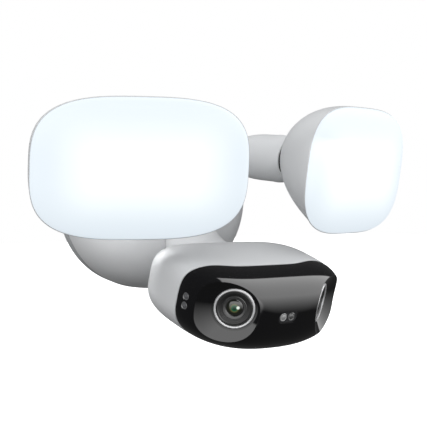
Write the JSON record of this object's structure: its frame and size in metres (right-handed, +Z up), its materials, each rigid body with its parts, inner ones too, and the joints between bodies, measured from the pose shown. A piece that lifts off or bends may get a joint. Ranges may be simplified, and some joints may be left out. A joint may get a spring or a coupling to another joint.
{
  "type": "floodlight security camera",
  "caption": "Wall-mounted security camera with a round base, two swivelling flood lamp heads on curved arms and a twin-lens camera head on a ball neck.",
  "frame": {"origin": "centre of the wall plate's flat back face, where the base meets the wall", "axes": "+X to the viewer's right as one faces the wall, +Y into the wall, +Z up"},
  "size_m": [0.31, 0.1667, 0.1621],
  "materials": {
    "painted_steel": "zinc plated, satin",
    "brass": "plain",
    "steel": "plain",
    "aluminium": "anodised",
    "silver_ring": "satin",
    "shell_white": "satin moulded",
    "housing_grey": "matte moulded",
    "black_gloss": "piano black",
    "black_plastic": "fine grain",
    "rubber": "matte",
    "circuit_board": "solder mask",
    "led_board": "white solder mask",
    "reflector": "white, semi-gloss",
    "diffuser": "milky, frosted",
    "lens_glass": "coated, polished"
  },
  "bodies": {
    "base": {"wall_plate": "painted_steel", "wall_gasket": "rubber", "cable_grommet": "rubber", "rear_housing": "housing_grey", "front_dome": "shell_white", "power_board": "circuit_board", "transformer": "black_plastic", "terminal_block": "black_plastic", "smoothing_capacitor": "steel", "dome_screw_left": "steel", "dome_screw_right": "steel", "arm_left": "shell_white", "arm_right": "shell_white", "arm_nut_left": "brass", "arm_nut_right": "brass", "camera_neck": "shell_white", "neck_nut": "brass"},
    "left_knuckle": {"knuckle_left": "black_plastic", "knuckle_pin_left": "steel"},
    "right_knuckle": {"knuckle_right": "black_plastic", "knuckle_pin_right": "steel"},
    "left_head": {"head_rear_shell_left": "shell_white", "heat_sink_left": "aluminium", "led_board_left": "led_board", "reflector_left": "reflector", "head_seal_left": "rubber", "diffuser_left": "diffuser"},
    "right_head": {"head_rear_shell_right": "shell_white", "heat_sink_right": "aluminium", "led_board_right": "led_board", "reflector_right": "reflector", "head_seal_right": "rubber", "diffuser_right": "diffuser"},
    "camera_swivel": {"swivel_cup": "black_plastic", "tilt_pin_left": "steel", "tilt_pin_right": "steel"},
    "camera": {"camera_rear_shell": "shell_white", "front_cover": "black_gloss", "lens_ring_left": "silver_ring", "lens_ring_right": "silver_ring", "lens_barrel_left": "black_plastic", "lens_barrel_right": "black_plastic", "lens_glass_left": "lens_glass", "lens_glass_right": "lens_glass", "sensor_board_left": "circuit_board", "sensor_board_right": "circuit_board", "infrared_led": "lens_glass", "light_sensor": "lens_glass", "sensor_window": "black_plastic", "main_board": "circuit_board", "speaker": "black_plastic", "card_socket": "steel"},
    "card_door": {"card_door": "shell_white"},
    "reset_button": {"reset_button": "black_plastic"}
  },
  "joints": [
    {"name": "left_pan", "type": "hinge", "parent": "base", "child": "left_knuckle", "pos_m": [-0.07002, -0.07642, 0.02694], "axis": [0, 0, 1], "range_deg": [-20, 10]},
    {"name": "left_tilt", "type": "hinge", "parent": "left_knuckle", "child": "left_head", "pos_m": [-0.07002, -0.07642, 0.02694], "axis": [-0.9455, 0.3256, 0], "range_deg": [-8, 25]},
    {"name": "right_pan", "type": "hinge", "parent": "base", "child": "right_knuckle", "pos_m": [0.07002, -0.07642, 0.02694], "axis": [0, 0, -1], "range_deg": [-20, 10]},
    {"name": "right_tilt", "type": "hinge", "parent": "right_knuckle", "child": "right_head", "pos_m": [0.07002, -0.07642, 0.02694], "axis": [-0.9455, -0.3256, 0], "range_deg": [-8, 25]},
    {"name": "camera_pan", "type": "hinge", "parent": "base", "child": "camera_swivel", "pos_m": [0, -0.0833, -0.0475], "axis": [0, 0, 1], "range_deg": [-12, 12]},
    {"name": "camera_tilt", "type": "hinge", "parent": "camera_swivel", "child": "camera", "pos_m": [0, -0.0833, -0.0475], "axis": [-1, 0, 0], "range_deg": [-8, 6]},
    {"name": "card_door_hinge", "type": "hinge", "parent": "camera", "child": "card_door", "pos_m": [0, -0.09537, -0.08317], "axis": [1, 0, 0], "range_deg": [0, 100]},
    {"name": "reset_press", "type": "slide", "parent": "camera", "child": "reset_button", "axis": [0, -0.309, 0.9511], "range_m": [0, 0.001], "stiffness_N_per_m": 300, "springref_m": -0.0005}
  ]
}
